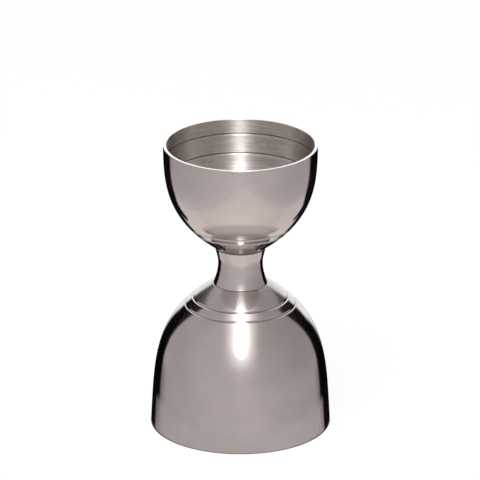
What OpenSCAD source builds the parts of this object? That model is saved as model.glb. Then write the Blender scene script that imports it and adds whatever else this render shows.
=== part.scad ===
// Bell jigger: a double-ended bar measure in stainless steel.
// A large bell stands on its rim. A waisted neck on its crown carries a small cup that opens upwards.
// The origin is the centre of the plane that the bell's rim stands on, and the axis runs along +Z.

/* [Bell] */
// Outside diameter at the bell's rim
bell_d = 51.4; // [46:0.1:58]
// Height from the bell's rim to the flat land that carries the neck
bell_h = 42.4; // [38:0.1:48]
// Thickness of the bell's wall
bell_wall = 0.95; // [0.7:0.05:1.4]
// Thickness of the bell's crown at the land
bell_crown = 2.2; // [1.8:0.1:3.2]
// Lean of the bell's wall at the rim, in degrees
bell_lean = 3; // [0:0.1:6]
// Power of the curve that draws the bell's wall in: a higher one keeps the wall upright for longer
bell_power = 4.15; // [3:0.05:6]

/* [Small cup] */
// Outside diameter at the small cup's rim
cup_d = 43.8; // [38:0.1:50]
// Height from the flat land under the small cup to its rim
cup_h = 30.4; // [26:0.05:36]
// Thickness of the small cup's wall
cup_wall = 0.95; // [0.7:0.05:1.4]
// Thickness of the small cup's floor at the land
cup_floor = 2.2; // [1.8:0.1:3.2]
// Lean of the small cup's wall at the rim, in degrees
cup_lean = 0.95; // [0:0.05:4]
// Power of the curve that draws the small cup's wall in
cup_power = 3.17; // [2.4:0.01:5]

/* [Rims and floors] */
// Width of the broken edge on both sides of each rim
rim_break = 0.15; // [0.05:0.05:0.3]
// Height over which the inside of each wall blends into its floor
floor_blend = 3; // [1.5:0.1:5]

/* [Rings and measuring lines] */
// Number of rings engraved round the outside of each measure near the neck
ring_count = 2; // [1:1:3]
// Distance of the upper ring below the bell's land
ring_drop = 4.1; // [3:0.1:8]
// Distance from one ring of the bell down to the next
ring_step = 2.05; // [1:0.05:4]
// Distance of the small cup's lower ring above its land
cup_ring_rise = 5.2; // [3:0.1:8]
// Distance from one ring of the small cup up to the next
cup_ring_step = 1.95; // [1:0.05:4]
// Width of an engraved ring
ring_w = 0.5; // [0.3:0.05:0.8]
// Depth of the upper measuring line below the small cup's rim
cup_line_upper = 4.3; // [2.5:0.1:6]
// Depth of the lower measuring line below the small cup's rim
cup_line_lower = 10.1; // [7:0.1:14]
// Depth of the measuring line inside the bell, from the bell's rim
bell_line = 7.5; // [4:0.1:16]
// Width of a measuring line
line_w = 0.7; // [0.4:0.05:1]
// How deep the rings and lines are cut
groove_depth = 0.2; // [0.1:0.05:0.35]

/* [Neck] */
// Height of the neck between the two lands
neck_h = 11.2; // [8:0.05:16]
// Diameter of the neck's foot on the bell
neck_foot_d = 15.44; // [13.6:0.02:18]
// Diameter of the neck at its waist
neck_waist_d = 12.68; // [10:0.02:13]
// Diameter of the neck where its collar starts
neck_flare_d = 13.18; // [13.1:0.02:15]
// Diameter of the collar at its upper edge
neck_collar_d = 14.48; // [13.6:0.02:17]
// Distance of the waist below the collar
neck_waist_drop = 2; // [1:0.1:4]
// Height of the collar, up to its bevel
neck_collar_h = 2.6; // [0.3:0.05:3]

/* [Core dowel and brazing] */
// Diameter of the dowel inside the neck
dowel_d = 6; // [4:0.1:8]
// Gap all round the dowel
dowel_clear = 0.05; // [0.02:0.01:0.15]
// Depth of the socket for the dowel in each land
socket_depth = 1; // [0.6:0.05:1.3]
// Gap over the dowel's upper end
dowel_end_gap = 0.1; // [0.05:0.05:0.3]
// Width of the bevel at each end of the dowel
dowel_bevel = 0.3; // [0.1:0.05:0.5]
// Width and height of the braze fillet at the neck's foot
foot_braze = 0.25; // [0.2:0.05:1.4]
// Width and height of the bevel on the collar, which is filled with braze
collar_bevel = 0.4; // [0.2:0.05:0.6]
// Bare flat left on each land outside its braze
land_margin = 0.06; // [0.02:0.02:0.3]

/* [Hidden] */

$fn = 120;
PROFILE_STEPS = 36;
BLEND_STEPS = 10;
GROOVE_FN = 32;

STEEL = [0.70, 0.66, 0.65];
NECK_STEEL = [0.63, 0.59, 0.58];
DOWEL_STEEL = [0.52, 0.52, 0.54];
BRAZE = [0.78, 0.74, 0.68];

neck_foot_r = neck_foot_d / 2;
neck_waist_r = neck_waist_d / 2;
neck_flare_r = neck_flare_d / 2;
neck_collar_r = neck_collar_d / 2;
socket_r = dowel_d / 2 + dowel_clear;
bevel_z = neck_h - collar_bevel;
collar_z = bevel_z - neck_collar_h;
neck_waist_h = collar_z - neck_waist_drop;
overall_h = bell_h + neck_h + cup_h;

// Share of the way from a braze's chord to its corner that its face is hollowed
braze_hollow = 0.5;
// How far the foot's braze blank reaches into the neck before the neck is cut from it
braze_bite = foot_braze / 20;

// A shell is written as its rim radius, depth from rim to land, land radius, lean, power, wall and floor
RIM_R = 0;
DEPTH = 1;
LAND_R = 2;
LEAN = 3;
POWER = 4;
WALL = 5;
FLOOR = 6;
BELL = [bell_d / 2, bell_h, neck_foot_r + foot_braze + land_margin,
        bell_lean, bell_power, bell_wall, bell_crown];
CUP = [cup_d / 2, cup_h, neck_collar_r + land_margin, cup_lean, cup_power, cup_wall, cup_floor];

// Shell profiles: x is the distance from the axis and y the distance from the rim

// How far a wall is drawn in to its land beyond its even lean
function drawn_in(s) = s[RIM_R] - s[DEPTH] * tan(s[LEAN]) - s[LAND_R];

// Outside radius at the distance y from the rim
function shell_r(s, y) = s[RIM_R] - y * tan(s[LEAN]) - drawn_in(s) * pow(y / s[DEPTH], s[POWER]);

// Change of the outside radius along y
function shell_slope(s, y) =
    -tan(s[LEAN]) - drawn_in(s) * s[POWER] / s[DEPTH] * pow(y / s[DEPTH], s[POWER] - 1);

// Unit vectors out of the wall and along it
function wall_normal(s, y) = [1, -shell_slope(s, y)] / norm([1, shell_slope(s, y)]);
function wall_tangent(s, y) = [shell_slope(s, y), 1] / norm([1, shell_slope(s, y)]);

// Points of the outside and of the inside, one wall thickness further in
function outer_point(s, y) = [shell_r(s, y), y];
function inner_point(s, y) = outer_point(s, y) - s[WALL] * wall_normal(s, y);

// Inside radius of the leaning wall close to the rim
function inner_rim_r(s, y) = s[RIM_R] - y * tan(s[LEAN]) - s[WALL] / cos(s[LEAN]);

// Distance of the floor, and of the place where the blend into it starts, from the rim
function floor_y(s) = s[DEPTH] - s[FLOOR];
function blend_y(s) = floor_y(s) - floor_blend;

// Distances from the rim at which a profile has its points
function profile_ys(s) =
    [for (i = [0:PROFILE_STEPS]) rim_break + (s[DEPTH] - rim_break) * i / PROFILE_STEPS];

// Those whose inside point lies between the rim's broken edge and the floor blend
function inner_ys(s) =
    [for (y = profile_ys(s)) if (inner_point(s, y).y > rim_break && inner_point(s, y).y < blend_y(s)) y];

// Curve that leaves a towards b and arrives at c from b
function blend(a, b, c) =
    [for (i = [0:BLEND_STEPS]) let (t = i / BLEND_STEPS)
        (1 - t) * (1 - t) * a + 2 * t * (1 - t) * b + t * t * c];

// Blend from the last inside point of the wall, along its tangent, on to the flat floor
function floor_curve(s) =
    let (ys = inner_ys(s),
         y = ys[len(ys) - 1],
         start = inner_point(s, y),
         along = wall_tangent(s, y),
         corner = start + along * (floor_y(s) - start.y) / along.y)
    blend(start, corner, [corner.x / 2, floor_y(s)]);

// Points in the opposite order
function backwards(points) = [for (i = [len(points) - 1:-1:0]) points[i]];

// Half section of a shell, from the rim along the outside to the land and back along the inside
function shell_outline(s) = concat(
    [[s[RIM_R] - rim_break, 0]],
    [for (y = profile_ys(s)) outer_point(s, y)],
    [[0, s[DEPTH]], [0, floor_y(s)]],
    backwards(floor_curve(s)),
    backwards([for (y = inner_ys(s)) inner_point(s, y)]),
    [[inner_rim_r(s, rim_break), rim_break], [inner_rim_r(s, 0) + rim_break, 0]]);

// Radius of a round groove from its width and depth
function groove_r(width) = (width * width / 4 + groove_depth * groove_depth) / (2 * groove_depth);

// Round groove in a profile at a point, with the way out of the metal
module groove(point, out, width) {
    translate(point + out * (groove_r(width) - groove_depth))
        circle(r = groove_r(width), $fn = GROOVE_FN);
}

// Shell with its dowel socket, rings round the outside and measuring lines inside
module shell(s, rings, lines) {
    rotate_extrude()
        difference() {
            polygon(shell_outline(s));
            translate([0, s[DEPTH] - socket_depth])
                square([socket_r, 2 * socket_depth]);
            for (y = rings)
                groove(outer_point(s, y), wall_normal(s, y), ring_w);
            for (y = lines)
                groove(inner_point(s, y), -wall_normal(s, y), line_w);
        }
}

// Neck profile: x is the distance from the axis and y the height above the neck's foot

// Outside radius of the neck below its collar: a parabola from the waist down to the foot and one up
function neck_r(y) =
    let (down = y < neck_waist_h,
         reach = down ? neck_waist_h : neck_waist_drop,
         aside = (down ? neck_foot_r : neck_flare_r) - neck_waist_r)
    neck_waist_r + aside * pow((y - neck_waist_h) / reach, 2);

// Heights from a to b in even steps
function heights(a, b) = [for (i = [0:PROFILE_STEPS / 2]) a + (b - a) * 2 * i / PROFILE_STEPS];

module neck_section() {
    polygon(concat(
        [[socket_r, 0]],
        [for (y = heights(0, neck_waist_h)) [neck_r(y), y]],
        [for (y = heights(neck_waist_h, collar_z)) if (y > neck_waist_h) [neck_r(y), y]],
        [[neck_collar_r, bevel_z], [neck_collar_r - collar_bevel, neck_h], [socket_r, neck_h]]));
}

// Face of a braze from an edge on a land to a top on the neck, hollowed towards the corner between them
function braze_face(corner, edge, top) =
    let (middle = (edge + top) / 2)
    blend(edge, middle + braze_hollow * (corner - middle), top);

// Braze fillet round the neck's foot
module foot_braze_section() {
    corner = [neck_foot_r, 0];
    side = [foot_braze, 0];
    top = [neck_r(foot_braze) - braze_bite, foot_braze];
    difference() {
        polygon(concat([corner - side], braze_face(corner, corner + side, top)));
        neck_section();
    }
}

// Braze that fills the collar's bevel under the small cup
module collar_braze_section() {
    corner = [neck_collar_r - collar_bevel, neck_h];
    polygon(concat([corner], braze_face(corner, [neck_collar_r, neck_h], [neck_collar_r, bevel_z])));
}

// Large measure, open downwards, with rings engraved on its shoulder
module bell() {
    color(STEEL)
        shell(BELL, [for (i = [0:ring_count - 1]) bell_h - ring_drop - i * ring_step], [bell_line]);
}

// Small measure, open upwards, with rings engraved above the neck and two measuring lines inside
module small_cup() {
    color(STEEL)
        translate([0, 0, overall_h])
            mirror([0, 0, 1])
                shell(CUP, [for (i = [0:ring_count - 1]) cup_h - cup_ring_rise - i * cup_ring_step],
                      [cup_line_upper, cup_line_lower]);
}

// Turned sleeve that stands on the bell's land and carries the small cup
module neck() {
    color(NECK_STEEL)
        translate([0, 0, bell_h])
            rotate_extrude()
                neck_section();
}

// Pin that keeps both cups and the neck on one axis, standing in the bell's socket
module core_dowel() {
    dowel_r = dowel_d / 2;
    dowel_h = neck_h + 2 * socket_depth - dowel_end_gap;
    color(DOWEL_STEEL)
        translate([0, 0, bell_h - socket_depth])
            rotate_extrude()
                polygon([
                    [0, 0],
                    [dowel_r - dowel_bevel, 0],
                    [dowel_r, dowel_bevel],
                    [dowel_r, dowel_h - dowel_bevel],
                    [dowel_r - dowel_bevel, dowel_h],
                    [0, dowel_h]]);
}

// Braze fillet between the neck's foot and the bell
module lower_braze_ring() {
    color(BRAZE)
        translate([0, 0, bell_h])
            rotate_extrude()
                foot_braze_section();
}

// Braze between the neck's collar and the small cup
module upper_braze_ring() {
    color(BRAZE)
        translate([0, 0, bell_h])
            rotate_extrude()
                collar_braze_section();
}

bell();
small_cup();
neck();
core_dowel();
lower_braze_ring();
upper_braze_ring();
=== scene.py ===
"""Looks of the bell jigger: polished measures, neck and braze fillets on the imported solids, in a studio."""

import math
from typing import NamedTuple

import bpy
import numpy as np
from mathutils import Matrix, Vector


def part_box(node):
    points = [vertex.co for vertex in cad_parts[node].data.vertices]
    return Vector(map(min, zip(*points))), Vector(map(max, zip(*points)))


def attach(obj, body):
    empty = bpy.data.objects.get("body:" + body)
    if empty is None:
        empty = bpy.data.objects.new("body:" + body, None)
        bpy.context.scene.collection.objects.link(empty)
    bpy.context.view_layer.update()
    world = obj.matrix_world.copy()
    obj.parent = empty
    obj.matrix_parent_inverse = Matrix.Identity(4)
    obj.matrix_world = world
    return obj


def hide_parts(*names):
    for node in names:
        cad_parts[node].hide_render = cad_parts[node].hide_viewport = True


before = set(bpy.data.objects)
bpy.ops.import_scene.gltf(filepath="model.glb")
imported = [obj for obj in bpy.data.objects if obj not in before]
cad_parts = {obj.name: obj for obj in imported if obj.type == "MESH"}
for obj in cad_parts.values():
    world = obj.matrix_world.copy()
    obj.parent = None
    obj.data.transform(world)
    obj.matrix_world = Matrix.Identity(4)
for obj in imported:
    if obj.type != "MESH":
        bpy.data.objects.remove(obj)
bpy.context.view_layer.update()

# Sizes are in millimetres, and meshes in metres
MM = 0.001
deg = math.radians

# The two measures
BELL_WALL = 0.95
BELL_CROWN = 2.2
BELL_LEAN = math.tan(deg(3.0))
BELL_POWER = 4.15
CUP_WALL = 0.95
CUP_FLOOR = 2.2
CUP_LEAN = math.tan(deg(0.95))
CUP_POWER = 3.17
RIM_BREAK = 0.15
RIM_HOLD = 0.03
INSIDE_START = 3 * RIM_BREAK
FLOOR_BLEND = 3.0
LAND_MARGIN = 0.06
SOCKET_R = 3.05
SOCKET_DEPTH = 1.0

# Rings outside and measuring lines inside
BELL_RING_DROPS = (4.1, 6.15)
CUP_RING_RISES = (5.2, 7.15)
RING_W = 0.66
RING_SKEW = 1.0
BELL_LINES = (7.5,)
CUP_LINES = (4.3, 10.1)
LINE_W = 1.05
LINE_SKEW = 0.5
CUT_DEPTH = 0.2

# Neck and braze
NECK_FOOT_R = 7.72
NECK_WAIST_R = 6.34
NECK_FLARE_R = 6.59
NECK_COLLAR_R = 7.24
NECK_WAIST_DROP = 2.0
NECK_COLLAR_H = 2.6
FOOT_BRAZE = 0.25
COLLAR_BEVEL = 0.4
BRAZE_HOLLOW = 0.5
BRAZE_BITE = FOOT_BRAZE / 20
BRAZE_CLEAR = 0.002

# How finely the surfaces are divided
TURN_STEPS = 240
WALL_STATIONS = 100
CUT_STATIONS = 37
CUT_SPAN = 0.9
EDGE_STEPS = 8
FLOOR_STEPS = 24
NECK_STATIONS = 100
COLLAR_STATIONS = 12
BRAZE_STEPS = 40
BRAZE_BACK_STATIONS = 16
SHARP_ANGLE = deg(32)

# Finishes of the metal
POLISH_DARK, POLISH_PALE = (0.605, 0.575, 0.555, 1), (0.675, 0.642, 0.622, 1)
# Painted shade: dark steel at the bottom of the cut rings outside
POLISH_CUT_SHADE = (0.16, 0.135, 0.125, 1)
LATHE_DARK, LATHE_PALE = (0.57, 0.538, 0.503, 1), (0.80, 0.765, 0.726, 1)
# Painted shade: dark steel at the bottom of the measuring lines inside
LATHE_CUT_SHADE = (0.12, 0.10, 0.09, 1)
BRAZE_DARK, BRAZE_PALE = (0.50, 0.475, 0.45, 1), (0.54, 0.515, 0.49, 1)
# Painted shade in the braze seam of the collar
BRAZE_SEAM_SHADE = (0.16, 0.14, 0.13, 1)
PIN_DARK, PIN_PALE = (0.46, 0.46, 0.48, 1), (0.58, 0.58, 0.60, 1)
PIN_FEED = 25000
CUT_DARK_FROM = 0.45
ROUND_DRIFT = 60
SPUN_LINES = {"Anisotropic": 1.0, "Anisotropic Rotation": 0.25}
SPUN_ROUGHNESS = 0.23
SPUN_SHARE = 0.1
DRESSED_SHARE = 0.45
DRESSED_EDGE = 0.3

# Light of the surroundings that the metal mirrors
WHITE = (1, 1, 1, 1)
WALL_TINT = (1.0, 0.916, 0.927, 1)
FLOOR_TINT = (1.0, 0.905, 0.85, 1)
WALL_LIGHT = 0.63
BACK_WALL_LOSS = 0.14
FLOOR_GAIN = 0.14
POOL_GAIN = 0.04
INNER_POOL_GAIN = 0.085
SIDE_FLOOR_GAIN = 0.08
BEHIND_SHADE = 0.6
FLAG_SHADE = 0.55
STRIP_ASIDE = 0.015
STRIP_GLOW = 1.45
STRIP_CORE = 4
SHEET_LIGHT = 1.06
FLAG_BLACK = 0.99
ROOM_LIGHT = 0.6

# Floor and cards of the studio
FLOOR_HALF = 4000
FLOOR_COLOUR = (0.82, 0.80, 0.78, 1)
FLOOR_GLOW = 1.04
FLOOR_GLOW_SHARE = 0.85
NEAR_FLOOR_HALF = 62
NEAR_FLOOR_Z = -0.02
# Painted light of the near floor card: brighter in front, painted shade beside the bell, black painted shadow
# under it
NEAR_FLOOR_BACK, NEAR_FLOOR_FRONT = (0.49, 0.449, 0.454, 1), (0.60, 0.55, 0.556, 1)
NEAR_FLOOR_SHADED = (0.22, 0.202, 0.204, 1)
UNDER_BELL_SHADOW = (0.01, 0.01, 0.01, 1)
FLAG_STRIPS = (("left_flag", (-57.4, 27.4), (-49.5, 38.1)), ("right_flag", (55.4, 30.7), (49.5, 38.1)))
FLAG_STRIP_Z = (13, 48)
CLOTH_DARK, CLOTH_PALE = (0.002, 0.002, 0.002, 1), (0.006, 0.006, 0.006, 1)

# Camera and lamp, in metres and watts
CAMERA_SENSOR_MM = 36.0
CAMERA_LENS_MM = 413.3
CAMERA_RANGE = 50.0
CAMERA_LOOK_DOWN = deg(21.12)
CAMERA_AWAY = 1.5637
CAMERA_AIM_Z = 0.05514
CAMERA_ASIDE = -0.000128
LAMP_SIZE = 0.7
LAMP_POWER = 7.0
LAMP_PLACE = (-0.15, -0.45, 0.85)


def height(node):
    """Lowest and highest level of a node of the frame."""
    low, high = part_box(node)
    return low.z / MM, high.z / MM


def reach(node):
    """Radius that a round node of the frame reaches on every side."""
    low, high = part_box(node)
    return min(-low.x, -low.y, high.x, high.y) / MM


bell_rim_z, bell_land_z = height("bell")
cup_land_z, cup_rim_z = height("small_cup")
neck_h = cup_land_z - bell_land_z
bevel_z = neck_h - COLLAR_BEVEL
collar_z = bevel_z - NECK_COLLAR_H
waist_h = collar_z - NECK_WAIST_DROP


class Shell(NamedTuple):
    """A measure: its rim radius, depth from rim to land, land radius, lean, power, wall and floor."""
    rim: float
    depth: float
    land: float
    lean: float
    power: float
    wall: float
    floor: float


BELL = Shell(reach("bell") + RIM_BREAK * BELL_LEAN, bell_land_z - bell_rim_z,
             reach("lower_braze_ring") + LAND_MARGIN, BELL_LEAN, BELL_POWER, BELL_WALL, BELL_CROWN)
CUP = Shell(reach("small_cup") + RIM_BREAK * CUP_LEAN, cup_rim_z - cup_land_z,
            reach("upper_braze_ring") + LAND_MARGIN, CUP_LEAN, CUP_POWER, CUP_WALL, CUP_FLOOR)


def wall_points(shell, y, inset):
    """Wall at the distances y from the rim, moved in along its normal by inset.

    The outside radius is rim - y lean - drawn_in (y / depth) ** power, where drawn_in brings it to the land.
    """
    drawn_in = shell.rim - shell.depth * shell.lean - shell.land
    radius = shell.rim - y * shell.lean - drawn_in * (y / shell.depth) ** shell.power
    slope = -shell.lean - drawn_in * shell.power / shell.depth * (y / shell.depth) ** (shell.power - 1)
    length = np.hypot(1, slope)
    return np.stack([radius - inset / length, y + inset * slope / length], 1)


def cut(y, places, width, skew):
    """Depth of the turned cuts at the distances y: each is CUT_DEPTH (1 - cos(2 pi t ** skew)) / 2.

    t runs from 0 to 1 over a cut's width. A skew under 1 makes its first side the steeper one.
    """
    t = np.clip((y[:, None] - np.asarray(places)) / width + 0.5 ** (1 / skew), 0, 1) ** skew
    return CUT_DEPTH * (1 - np.cos(2 * np.pi * t)).sum(1) / 2


def stations(start, end, places, width):
    """Distances from start to end in even steps, with closer ones across each cut."""
    close = np.asarray(places)[:, None] + width * np.linspace(-CUT_SPAN, CUT_SPAN, CUT_STATIONS)
    return np.union1d(np.linspace(start, end, WALL_STATIONS), np.clip(close.ravel(), start, end))


def bend(a, b, c, steps):
    """Curve that leaves a towards b and reaches c from b: (1-t)^2 a + 2 t (1-t) b + t^2 c."""
    t = np.linspace(0, 1, steps + 1)[:, None]
    return (1 - t) ** 2 * np.asarray(a) + 2 * t * (1 - t) * np.asarray(b) + t ** 2 * np.asarray(c)


def shell_section(shell, rings, lines):
    """Half section of a measure as radius and distance from the rim.

    It runs from the socket's floor over the land, down the outside, round the rim and along the inside to the
    middle of the floor. The inside is the outside moved in by the wall, then a bend on to the flat floor.
    Gives the points, the depth of the cut at each, and the number of points before the inside.
    """
    socket_y = shell.depth - SOCKET_DEPTH
    socket = [[0, socket_y], [SOCKET_R, socket_y], [SOCKET_R, shell.depth]]
    outside = stations(RIM_BREAK, shell.depth, rings, RING_W)[::-1]
    ring_cut = cut(outside, rings, RING_W, RING_SKEW)
    outer = wall_points(shell, outside, ring_cut)

    inner_rim = shell.rim - shell.wall * math.hypot(1, shell.lean)
    edge_in = shell.rim - RIM_BREAK
    edge_out = inner_rim + RIM_BREAK
    below_edge = [inner_rim - RIM_BREAK * shell.lean, RIM_BREAK]
    outer_edge = bend(outer[-1], [shell.rim, 0], [edge_in, 0], EDGE_STEPS)[1:]
    flat = [[edge_in - RIM_HOLD, 0], [edge_out + RIM_HOLD, 0]]
    inner_edge = bend([edge_out, 0], [inner_rim, 0], below_edge, EDGE_STEPS)

    floor_y = shell.depth - shell.floor
    inside = stations(INSIDE_START, shell.depth, lines, LINE_W)
    line_cut = cut(inside, lines, LINE_W, LINE_SKEW)
    inner = wall_points(shell, inside, shell.wall - line_cut)
    line_cut = line_cut[inner[:, 1] < floor_y - FLOOR_BLEND]
    inner = inner[:len(line_cut)]
    along = inner[-1] - inner[-2]
    corner = inner[-1] + along * (floor_y - inner[-1, 1]) / along[1]
    flat_from = [corner[0] / 2, floor_y]
    floor = bend(inner[-1], corner, flat_from, FLOOR_STEPS)[1:]

    before = [socket, outer, outer_edge, flat]
    points = np.concatenate([*before, inner_edge, inner, floor, [[0, floor_y]]])
    inside_start = sum(len(part) for part in before)
    depth = np.zeros(len(points))
    depth[len(socket):][:len(outer)] = ring_cut
    depth[inside_start + len(inner_edge):][:len(inner)] = line_cut
    return points, depth, inside_start


def neck_radius(y):
    """Neck's outside below the collar. It widens both ways with the square of the distance from the waist."""
    below = (NECK_FOOT_R - NECK_WAIST_R) * ((waist_h - y) / waist_h) ** 2
    above = (NECK_FLARE_R - NECK_WAIST_R) * ((y - waist_h) / NECK_WAIST_DROP) ** 2
    return NECK_WAIST_R + np.where(y < waist_h, below, above)


def neck_section():
    """Closed half section of the sleeve: up its bore, over its top, down the collar and waist to the foot."""
    y = np.linspace(collar_z, 0, NECK_STATIONS)
    share = np.linspace(0, 1, COLLAR_STATIONS)[:-1, None]
    collar = (1 - share) * [NECK_COLLAR_R, bevel_z] + share * [NECK_FLARE_R, collar_z]
    top = [[SOCKET_R, 0], [SOCKET_R, neck_h], [NECK_COLLAR_R - COLLAR_BEVEL, neck_h]]
    return np.concatenate([top, collar, np.stack([neck_radius(y), y], 1)])


def braze_face(corner, edge, top):
    """Face of a braze from its edge on a land to its top on the neck, hollowed towards their corner."""
    middle = (np.asarray(edge) + top) / 2
    return bend(edge, middle + BRAZE_HOLLOW * (corner - middle), top, BRAZE_STEPS)


def foot_braze_section():
    """Closed half section of the fillet round the neck's foot. Its back follows the neck."""
    top = [neck_radius(FOOT_BRAZE) - BRAZE_BITE, FOOT_BRAZE]
    face = braze_face(np.array([NECK_FOOT_R, 0]), [NECK_FOOT_R + FOOT_BRAZE, 0], top)
    face = face[face[:, 0] > neck_radius(face[:, 1]) + BRAZE_CLEAR]
    back = np.linspace(0, face[-1, 1], BRAZE_BACK_STATIONS)
    return np.concatenate([np.stack([neck_radius(back), back], 1), face[::-1]])


def collar_braze_section():
    """Closed half section of the braze that fills the collar's bevel, and a full cut depth on every point, so
    its whole face takes the seam's painted shade and roughness.
    """
    corner = np.array([NECK_COLLAR_R - COLLAR_BEVEL, neck_h])
    face = braze_face(corner, [NECK_COLLAR_R, neck_h], [NECK_COLLAR_R, bevel_z])
    return np.concatenate([[corner], face]), np.full(len(face) + 1, CUT_DEPTH)


def turned(name, section, finishes, depth=None, inside=None):
    """Carries a half section of radius and height round the axis.

    A point of ring i at step k is (radius cos a, radius sin a, height) with a = 2 pi k / TURN_STEPS. A
    section that starts on the axis ends there too, in two fans. A closed one joins its last ring to its
    first. The attribute along holds each point's distance along the section, and the attribute cut the depth
    of its cut. The faces between rings inside[0] and inside[1] get the second finish.
    """
    section = np.asarray(section, float)
    poles = section[0, 0] == 0
    travel = np.concatenate([[0], np.cumsum(np.hypot(*np.diff(section, axis=0).T))])
    depth = np.zeros(len(section)) if depth is None else depth
    kept = slice(1, -1) if poles else slice(None)
    rings = section[kept]
    angle = np.arange(TURN_STEPS) * 2 * np.pi / TURN_STEPS
    round_x, round_y = np.outer(rings[:, 0], np.cos(angle)), np.outer(rings[:, 0], np.sin(angle))
    points = np.stack([round_x, round_y, np.repeat(rings[:, 1:], TURN_STEPS, 1)], -1).reshape(-1, 3)
    along, cuts = np.repeat(travel[kept], TURN_STEPS), np.repeat(depth[kept], TURN_STEPS)
    this = np.arange(len(rings) * TURN_STEPS).reshape(len(rings), TURN_STEPS)
    after = np.roll(this, -1, 1)
    if poles:
        a, b = this[:-1], this[1:]
        c, d = after[1:], after[:-1]
    else:
        a, b = this, np.roll(this, -1, 0)
        c, d = np.roll(after, -1, 0), after
    faces = np.stack([a, b, c, d], -1).reshape(-1, 4).tolist()
    ring = np.repeat(np.arange(len(a)), TURN_STEPS)
    if poles:
        first, last = len(points), len(points) + 1
        ends = [[0, 0, section[0, 1]], [0, 0, section[-1, 1]]]
        points = np.concatenate([points, ends])
        along = np.concatenate([along, [travel[0], travel[-1]]])
        cuts = np.concatenate([cuts, [0, 0]])
        faces += np.stack([np.full(TURN_STEPS, first), this[0], after[0]], 1).tolist()
        faces += np.stack([np.full(TURN_STEPS, last), after[-1], this[-1]], 1).tolist()
        ring = np.concatenate([ring, np.zeros(TURN_STEPS, int), np.full(TURN_STEPS, len(a))])
    mesh = bpy.data.meshes.new(name)
    mesh.from_pydata((points * MM).tolist(), [], faces)
    mesh.attributes.new("along", "FLOAT", "POINT").data.foreach_set("value", along.astype(np.float32))
    mesh.attributes.new("cut", "FLOAT", "POINT").data.foreach_set("value", cuts.astype(np.float32))
    mesh.polygons.foreach_set("use_smooth", np.ones(len(faces), bool))
    for material in finishes:
        mesh.materials.append(material)
    if inside is not None:
        second = (ring >= inside[0]) & (ring <= inside[1])
        mesh.polygons.foreach_set("material_index", second.astype(np.int32))
    mesh.set_sharp_from_angle(angle=SHARP_ANGLE)
    mesh.update()
    piece = bpy.data.objects.new(name, mesh)
    bpy.context.scene.collection.objects.link(piece)
    return piece


class Value:
    """One output socket of a node tree. Arithmetic on it adds Math nodes."""

    def __init__(self, bench, socket):
        self.bench = bench
        self.socket = socket

    def also(self, name):
        """Another output of the same node."""
        return Value(self.bench, self.socket.node.outputs[name])

    def __add__(self, other):
        return self.bench.maths("ADD", self, other)

    def __radd__(self, other):
        return self.bench.maths("ADD", other, self)

    def __sub__(self, other):
        return self.bench.maths("SUBTRACT", self, other)

    def __rsub__(self, other):
        return self.bench.maths("SUBTRACT", other, self)

    def __mul__(self, other):
        return self.bench.maths("MULTIPLY", self, other)

    def __rmul__(self, other):
        return self.bench.maths("MULTIPLY", other, self)

    def __truediv__(self, other):
        return self.bench.maths("DIVIDE", self, other)

    def __pow__(self, other):
        return self.bench.maths("POWER", self, other)

    def __neg__(self):
        return self.bench.maths("MULTIPLY", self, -1.0)


class Bench:
    """The node tree of one finish or of the studio's surroundings."""

    def __init__(self, tree):
        self.tree = tree
        tree.nodes.clear()

    def add(self, kind, sockets=None, out=0, **settings):
        """Adds a node with its settings, and a value or link in each socket. Gives one of its outputs."""
        node = self.tree.nodes.new(kind)
        for name, value in settings.items():
            setattr(node, name, value)
        for name, value in (sockets or {}).items():
            if isinstance(value, Value):
                self.tree.links.new(value.socket, node.inputs[name])
            else:
                node.inputs[name].default_value = value
        return Value(self, node.outputs[out]) if len(node.outputs) else None

    def maths(self, operation, *values):
        """Math node on one or two values."""
        return self.add("ShaderNodeMath", dict(enumerate(values)), operation=operation)

    def larger(self, a, b):
        """The larger of two values."""
        return self.maths("MAXIMUM", a, b)

    def step(self, value, low, high):
        """Goes smoothly from 0 at low to 1 at high."""
        limits = {"Value": value, "From Min": low, "From Max": high}
        return self.add("ShaderNodeMapRange", limits, interpolation_type="SMOOTHSTEP")

    def step_mm(self, value, low, high):
        """Step of a value in metres between limits in millimetres."""
        return self.step(value, low * MM, high * MM)

    def step_deg(self, value, low, high):
        """Step of an angle between limits in degrees."""
        return self.step(value, deg(low), deg(high))

    def object_place(self):
        """Place on the object."""
        return self.add("ShaderNodeTexCoord", out="Object")

    def attribute(self, name):
        """Attribute of the mesh."""
        return self.add("ShaderNodeAttribute", out="Fac", attribute_name=name)

    def parts(self, vector):
        """The three parts of a vector."""
        x = self.add("ShaderNodeSeparateXYZ", {"Vector": vector}, "X")
        return x, x.also("Y"), x.also("Z")

    def noise(self, vector, scale, detail, roughness=0.5):
        """Cloudy value round 0.5."""
        sockets = {"Vector": vector, "Scale": scale, "Detail": detail, "Roughness": roughness}
        return self.add("ShaderNodeTexNoise", sockets)

    def mix_colour(self, share, a, b):
        """Colour between a and b."""
        return self.add("ShaderNodeMix", {0: share, 6: a, 7: b}, 2, data_type="RGBA")

    def mix_shader(self, share, a, b):
        """Surface between a and b."""
        return self.add("ShaderNodeMixShader", {0: share, 1: a, 2: b})

    def finish(self, shader):
        """Makes a shader the surface of the finish."""
        self.add("ShaderNodeOutputMaterial", {"Surface": shader})


def new_finish(name):
    """A new finish and its bench."""
    material = bpy.data.materials.new(name)
    material.use_nodes = True
    return material, Bench(material.node_tree)


def steel_bench(name):
    """A new finish with the coordinates that the steel finishes share.

    Gives it, its bench, the place on the object, and a vector whose third part runs along the turned section
    and whose others run slowly round it, for lines that circle the axis and fade in and out.
    """
    material, bench = new_finish(name)
    place = bench.object_place()
    x, y, _ = bench.parts(place)
    drift = {"X": x * ROUND_DRIFT, "Y": y * ROUND_DRIFT, "Z": bench.attribute("along")}
    return material, bench, place, bench.add("ShaderNodeCombineXYZ", drift)


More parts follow.
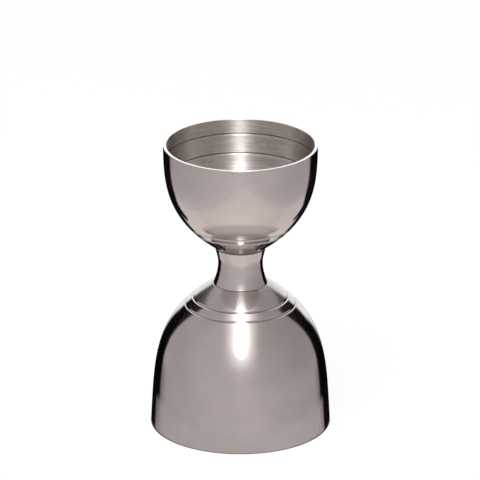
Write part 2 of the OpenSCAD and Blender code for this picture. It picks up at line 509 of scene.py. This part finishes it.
def steel_surface(bench, colour, roughness, bump, strength, reach_mm, spun=None, **constants):
    """Metal surface with its colour, roughness and bump, and the constants set on the shader's own sockets.

    The share spun of it mirrors like spun lines round the axis, which spread a light up and down.
    """
    relief = {"Strength": strength, "Distance": reach_mm * MM, "Height": bump}
    normal = bench.add("ShaderNodeBump", relief)
    sockets = {"Base Color": colour, "Roughness": roughness, "Metallic": 1.0, "Normal": normal}
    shader = bench.add("ShaderNodeBsdfPrincipled", {**sockets, **constants})
    if spun is not None:
        spread = {**sockets, "Roughness": SPUN_ROUGHNESS, **SPUN_LINES}
        shader = bench.mix_shader(spun, shader, bench.add("ShaderNodeBsdfPrincipled", spread))
    bench.finish(shader)


def cut_share(bench):
    """1 at the bottom of an engraved ring or line, and 0 beside it."""
    return bench.step(bench.attribute("cut"), CUT_DEPTH * CUT_DARK_FROM, CUT_DEPTH)


def polished_steel(name, dressed_z):
    """Mirror polish with a slight haze in clouds, and painted shade in the cut rings.

    Its spun lines hardly show, and less where it is seen at a slant. Above the height dressed_z, round the
    neck's foot, it is dressed over and they show.
    """
    material, bench, place, lathe = steel_bench(name)
    _, _, z = bench.parts(place)
    dressed = bench.step_mm(z, dressed_z - DRESSED_EDGE, dressed_z + DRESSED_EDGE)
    cloud = bench.noise(place, scale=110, detail=5, roughness=0.6)
    lines = bench.noise(lathe, scale=5, detail=3, roughness=0.6)
    tone = bench.step(cloud * 0.7 + lines * 0.3, 0.3, 0.7)
    colour = bench.mix_colour(tone, POLISH_DARK, POLISH_PALE)
    # Painted shade: the colour darkens towards the bottom of each cut ring
    colour = bench.mix_colour(cut_share(bench) * 0.5, colour, POLISH_CUT_SHADE)
    roughness = 0.055 + cloud * 0.05 + lines * 0.02
    slant = bench.add("ShaderNodeLayerWeight", {"Blend": 0.5}, "Facing")
    spun = SPUN_SHARE * (1 - bench.step(slant, 0.5, 0.62)) + dressed * DRESSED_SHARE
    steel_surface(bench, colour, roughness, lines, strength=0.02, reach_mm=0.05, spun=spun)
    return material


def turned_steel():
    """Inside of a measure as the lathe left it: fine lines round the axis that spread a light up and down."""
    material, bench, place, lathe = steel_bench("turned_steel")
    fine = bench.noise(lathe, scale=9, detail=2, roughness=0.7)
    broad = bench.noise(lathe, scale=2.2, detail=2, roughness=0.6)
    cloud = bench.noise(place, scale=90, detail=2)
    tone = bench.step(fine * 0.6 + broad * 0.4, 0.36, 0.64)
    colour = bench.mix_colour(tone, LATHE_DARK, LATHE_PALE)
    # Painted shade: the colour darkens towards the bottom of each measuring line
    colour = bench.mix_colour(cut_share(bench) * 0.75, colour, LATHE_CUT_SHADE)
    roughness = 0.28 + broad * 0.12 + cloud * 0.04
    grooves = fine * 0.5 + broad * 0.5
    steel_surface(bench, colour, roughness, grooves, strength=0.12, reach_mm=0.08, **SPUN_LINES)
    return material


def braze_metal():
    """Pale braze polished with the steel beside it, a little softer, with painted shade in the seam of the
    collar.
    """
    material, bench, place, _ = steel_bench("braze_metal")
    cloud = bench.noise(place, scale=400, detail=3)
    colour = bench.mix_colour(bench.step(cloud, 0.35, 0.65), BRAZE_DARK, BRAZE_PALE)
    seam = cut_share(bench)
    # Painted shade: the seam's colour darkens almost to black
    colour = bench.mix_colour(seam * 0.8, colour, BRAZE_SEAM_SHADE)
    roughness = 0.14 + cloud * 0.1 + seam * 0.35
    steel_surface(bench, colour, roughness, cloud, strength=0.03, reach_mm=0.1)
    return material


def plain_steel():
    """Plain turned pin with a feed mark along its length."""
    material, bench, place, _ = steel_bench("plain_steel")
    _, _, z = bench.parts(place)
    feed = bench.maths("SINE", z * PIN_FEED) * 0.5 + 0.5
    cloud = bench.noise(place, scale=300, detail=3)
    colour = bench.mix_colour(cloud, PIN_DARK, PIN_PALE)
    steel_surface(bench, colour, 0.3 + cloud * 0.12, feed, strength=0.15, reach_mm=0.05)
    return material


class Way(NamedTuple):
    """A direction: its parts to the right, back and up, and its angles.

    The turn is its angle from the front round the axis, the rise its angle over the horizon, and the arch its
    angle from the front up and over the top, seen from the side.
    """
    right: Value
    back: Value
    up: Value
    turn: Value
    rise: Value
    arch: Value


def way_out(bench):
    """Direction in which a ray leaves for the surroundings."""
    right, back, up = bench.parts(bench.add("ShaderNodeTexCoord", out="Generated"))
    never_zero = 0.000001
    turn = bench.maths("ARCCOSINE", -back / (right * right + back * back + never_zero) ** 0.5)
    return Way(right, back, up, turn, bench.maths("ARCSINE", up), bench.maths("ARCTAN2", up, -back))


def floor_and_walls(bench, way):
    """Light of the grey walls and the pale floor.

    The walls are darker towards the back and the right. The floor is lighter towards the object, in a wide
    pool of light with a smaller one in it, and at the sides. It is darker close behind the object and in the
    shade of the flags.
    """
    right, back, up, turn, rise, _ = way
    right_loss = bench.step(right, 0.15, 0.6) * (0.02 + bench.step_deg(rise, -14, 4) * 0.08)
    light = WALL_LIGHT - bench.step_deg(turn, 15, 110) * BACK_WALL_LOSS - right_loss
    fall = bench.larger(-up, 0.05)
    floor_x, floor_y = right / fall, back / fall
    pool = bench.step(floor_y - floor_x ** 2 * 1.475, -3.8, -2.2) * bench.step_deg(-rise, 14, 19)
    inner_pool = bench.step(floor_y - (floor_x - 0.08) ** 2 * 1.645, -2.45, -1.75)
    sides = bench.step_deg(turn, 70, 115) * bench.step_deg(-rise, 26, 38)
    light = light + bench.step_deg(-rise, 14, 60) * FLOOR_GAIN + pool * POOL_GAIN
    light = light + inner_pool * INNER_POOL_GAIN + sides * SIDE_FLOOR_GAIN
    behind = bench.step(back, 0.05, 0.3) * bench.step_deg(-rise, 60, 72)
    light = light * (1 - behind * BEHIND_SHADE)
    shade = bench.step_deg(turn, 112, 132) * bench.step_deg(-rise, 9, 14)
    shade = shade * (1 - bench.step_deg(-rise, 19, 23))
    return light * (1 - shade * FLAG_SHADE)


def strip_light(bench, way):
    """Soft strip light from the front to overhead: its glow, and its bright core, which starts in a tip."""
    sideways = bench.maths("ABSOLUTE", way.right - STRIP_ASIDE)
    glow = (1 - bench.step(sideways, -0.02, 0.46)) * bench.step_deg(way.arch, 6, 46)
    glow = glow * (1 - bench.step_deg(way.arch, 88, 108))
    tip = way.arch - sideways * deg(40)
    core = (1 - bench.step(sideways, 0.10, 0.17)) * bench.step_deg(tip, 23, 30)
    core = core * (1 - bench.step_deg(way.arch, 86, 94))
    return glow, core


def sheet_and_flags(bench, way):
    """White sheet behind the object, and the black flags on both sides of it, which stand on the floor.

    The sheet hangs in front of the flags. Their side edges are turns that change a little with the rise.
    """
    right, back, up, turn, rise, _ = way
    low = bench.maths("MINIMUM", rise, 0.0)
    high = rise - low
    sheet_edge = deg(151) - right * deg(6) - high * 0.08 - low * 0.85
    sheet = bench.step_deg(turn - sheet_edge, -3, 3) * bench.step_deg(rise, -20, -12)
    sheet = sheet * (1 - bench.step_deg(rise, 36, 50))
    flag_edge = deg(128) - right * deg(1.9) - high * 0.35
    flag_edge = flag_edge + bench.step_deg(-rise, 2, 8) * deg(1.3)
    flag_top = deg(40) - (turn - deg(118)) * 0.45 - right * deg(3.2)
    over_floor = bench.step(up + back * (0.88 + bench.step_deg(turn, 158, 166) * 0.5), -0.06, 0.01)
    flags = bench.step_deg(turn - flag_edge, -2.2, 2.2) * over_floor
    flags = flags * (1 - bench.step_deg(rise - flag_top, -2.5, 2.5))
    return sheet, flags


def light_path(bench):
    """Whether a ray comes from the camera, and whether it comes from a glossy or clear surface."""
    camera = bench.add("ShaderNodeLightPath", out="Is Camera Ray")
    return camera, bench.larger(camera.also("Is Glossy Ray"), camera.also("Is Transmission Ray"))


def studio_surroundings():
    """Studio all round: white for the camera, an even soft light for the floor, and what the metal mirrors.

    That is the floor and walls with the strip light, black at the flags, and then the white sheet.
    """
    world = bpy.data.worlds.new("studio_surroundings")
    world.use_nodes = True
    world.cycles.sampling_method = "NONE"
    bench = Bench(world.node_tree)
    way = way_out(bench)
    glow, core = strip_light(bench, way)
    sheet, flags = sheet_and_flags(bench, way)
    mirrored = floor_and_walls(bench, way) + glow * STRIP_GLOW + core * STRIP_CORE
    mirrored = mirrored * (1 - flags * FLAG_BLACK)
    upper_sheet = 0.2 - bench.step_deg(way.turn, 164, 177) * 0.8
    white = SHEET_LIGHT - bench.step_deg(way.rise, 0, 24) * upper_sheet
    mirrored = mirrored + sheet * (white - mirrored)

    camera, mirror = light_path(bench)
    strength = camera + mirror * mirrored + (1 - camera - mirror) * ROOM_LIGHT
    tint = bench.mix_colour(bench.step_deg(-way.rise, 25, 60), WALL_TINT, FLOOR_TINT)
    colour = bench.mix_colour(mirror * (1 - bench.larger(sheet, core)), WHITE, tint)
    shader = bench.add("ShaderNodeBackground", {"Color": colour, "Strength": strength})
    bench.add("ShaderNodeOutputWorld", {"Surface": shader})
    bpy.context.scene.world = world


def floor_finish():
    """Pale matt floor. The camera sees it near white, with part of the shade that falls on it."""
    material, bench = new_finish("pale_floor")
    material.cycles.emission_sampling = "NONE"
    camera, _ = light_path(bench)
    matt = bench.add("ShaderNodeBsdfDiffuse", {"Color": FLOOR_COLOUR})
    glow = bench.add("ShaderNodeEmission", {"Color": WHITE, "Strength": FLOOR_GLOW})
    bench.finish(bench.mix_shader(camera * FLOOR_GLOW_SHARE, matt, glow))
    return material


def near_floor_finish():
    """Floor close by as the metal mirrors it, a glowing card with light and shadow painted on: a painted
    shadow under the bell, pale round it up to the flags, else clear.

    The pale floor ends behind at a line across the foot of each flag, and is shaded beside the bell.
    """
    material, bench = new_finish("near_floor")
    material.cycles.emission_sampling = "NONE"
    x, y, _ = bench.parts(bench.object_place())
    away = (x * x + y * y) ** 0.5
    beside = bench.maths("ABSOLUTE", x)
    left = bench.step_mm(-x, -1, 1)
    line_slope = 1.11 + left * 0.297
    line_start = (35.8 + left * 6.5) * MM
    before_line = bench.step_mm(beside * line_slope - y - line_start, -0.7, 0.7)
    pale = bench.larger(before_line, bench.step_mm(-y, 12, 16))
    pale = pale * (1 - bench.step_mm(y, 9, 18)) * (1 - bench.step_mm(away, 40, 52))
    under = 1 - bench.step_mm(away, BELL.rim + 0.2, BELL.rim + 0.9)
    shaded = (1 - bench.step_mm(beside * 0.82 - y, 24, 33.5)) * bench.step_mm(beside, 8, 18)
    # Painted light and shade: the glow is brighter towards the front, darker in the painted shade beside the
    # bell, black in the painted shadow under it
    colour = bench.mix_colour(bench.step_mm(-y, -5, 28), NEAR_FLOOR_BACK, NEAR_FLOOR_FRONT)
    colour = bench.mix_colour(shaded, colour, NEAR_FLOOR_SHADED)
    colour = bench.mix_colour(under, colour, UNDER_BELL_SHADOW)
    glow = bench.add("ShaderNodeEmission", {"Color": colour, "Strength": 1.0})
    clear = bench.add("ShaderNodeBsdfTransparent")
    bench.finish(bench.mix_shader(bench.larger(pale, under), clear, glow))
    return material


def black_cloth():
    """Cloth of the black flags, with its weave."""
    material, bench = new_finish("black_cloth")
    weave = bench.noise(bench.object_place(), scale=900, detail=2)
    colour = bench.mix_colour(weave, CLOTH_DARK, CLOTH_PALE)
    bench.finish(bench.add("ShaderNodeBsdfDiffuse", {"Color": colour}))
    return material


def card(name, corners, material):
    """Flat four-cornered piece of the studio."""
    mesh = bpy.data.meshes.new(name)
    mesh.from_pydata((np.asarray(corners, float) * MM).tolist(), [], [[0, 1, 2, 3]])
    mesh.materials.append(material)
    obj = bpy.data.objects.new(name, mesh)
    bpy.context.scene.collection.objects.link(obj)
    return obj


def level_square(half, z):
    """Corners of a level square about the axis."""
    return [[-half, -half, z], [half, -half, z], [half, half, z], [-half, half, z]]


def show_in_mirrors_only(piece):
    """Hides a piece of the studio from all but mirrored rays."""
    piece.visible_camera = False
    piece.visible_diffuse = False
    piece.visible_transmission = False
    piece.visible_shadow = False


def place_camera():
    """Camera of the photo: straight in front, looking down at the object's middle through a long lens."""
    data = bpy.data.cameras.new("camera")
    data.sensor_width = CAMERA_SENSOR_MM
    data.lens = CAMERA_LENS_MM
    data.clip_end = CAMERA_RANGE
    before = CAMERA_AWAY * math.cos(CAMERA_LOOK_DOWN)
    above = CAMERA_AWAY * math.sin(CAMERA_LOOK_DOWN)
    camera = bpy.data.objects.new("camera", data)
    camera.location = (CAMERA_ASIDE, -before, CAMERA_AIM_Z + above)
    camera.rotation_euler = (math.pi / 2 - CAMERA_LOOK_DOWN, 0, 0)
    bpy.context.scene.collection.objects.link(camera)
    bpy.context.scene.camera = camera


def place_lamp():
    """Large soft lamp over the front, pointed at the object's foot, for the light and shade on the floor."""
    data = bpy.data.lights.new("soft_lamp", "AREA")
    data.shape = "DISK"
    data.size = LAMP_SIZE
    data.energy = LAMP_POWER
    x, y, z = LAMP_PLACE
    lamp = bpy.data.objects.new("soft_lamp", data)
    lamp.location = LAMP_PLACE
    lamp.rotation_euler = (math.atan2(-y, z), 0, math.atan2(x, -y))
    lamp.visible_glossy = False
    bpy.context.scene.collection.objects.link(lamp)


bell_polish = polished_steel("bell_polish", bell_land_z - BELL_RING_DROPS[0])
cup_polish = polished_steel("cup_polish", cup_rim_z)
lathe_finish, braze = turned_steel(), braze_metal()

bell_rings = [BELL.depth - drop for drop in BELL_RING_DROPS]
bell_shape, bell_cuts, bell_inside = shell_section(BELL, bell_rings, BELL_LINES)
bell = turned("polished_bell", bell_shape + [0, bell_rim_z], [bell_polish, lathe_finish],
              bell_cuts, (bell_inside, len(bell_shape)))

# The cup is a measure turned over, so its section runs from the floor inside to the socket
cup_rings = [CUP.depth - rise for rise in CUP_RING_RISES]
cup_shape, cup_cuts, cup_inside = shell_section(CUP, cup_rings, CUP_LINES)
cup_shape = (cup_shape * [1, -1] + [0, cup_rim_z])[::-1]
cup = turned("polished_small_cup", cup_shape, [cup_polish, lathe_finish],
             cup_cuts[::-1], (0, len(cup_shape) - 3 - cup_inside))

neck = turned("polished_neck", neck_section() + [0, bell_land_z], [cup_polish])
foot_fillet = turned("foot_braze_fillet", foot_braze_section() + [0, bell_land_z], [braze])
collar_shape, collar_cuts = collar_braze_section()
collar_fillet = turned("collar_braze_fillet", collar_shape + [0, bell_land_z], [braze], collar_cuts)

for piece, node, slot in ((bell, "bell", "polished_steel"), (cup, "small_cup", "polished_steel"),
                          (neck, "neck", "polished_steel"), (foot_fillet, "lower_braze_ring", "braze_metal"),
                          (collar_fillet, "upper_braze_ring", "braze_metal")):
    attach(piece, "root")
    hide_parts(node)
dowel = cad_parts["core_dowel"]
for holder in dowel.material_slots:
    holder.material = plain_steel()

floor = card("pale_floor", level_square(FLOOR_HALF, 0), floor_finish())
floor.visible_glossy = False
near_floor = card("near_floor", level_square(NEAR_FLOOR_HALF, NEAR_FLOOR_Z), near_floor_finish())
show_in_mirrors_only(near_floor)
cloth = black_cloth()
strip_low, strip_high = FLAG_STRIP_Z
for name, near, far in FLAG_STRIPS:
    corners = [[*near, strip_low], [*far, strip_low], [*far, strip_high], [*near, strip_high]]
    show_in_mirrors_only(card(name, corners, cloth))
studio_surroundings()
place_camera()
place_lamp()
bpy.context.scene.view_settings.view_transform = "Standard"
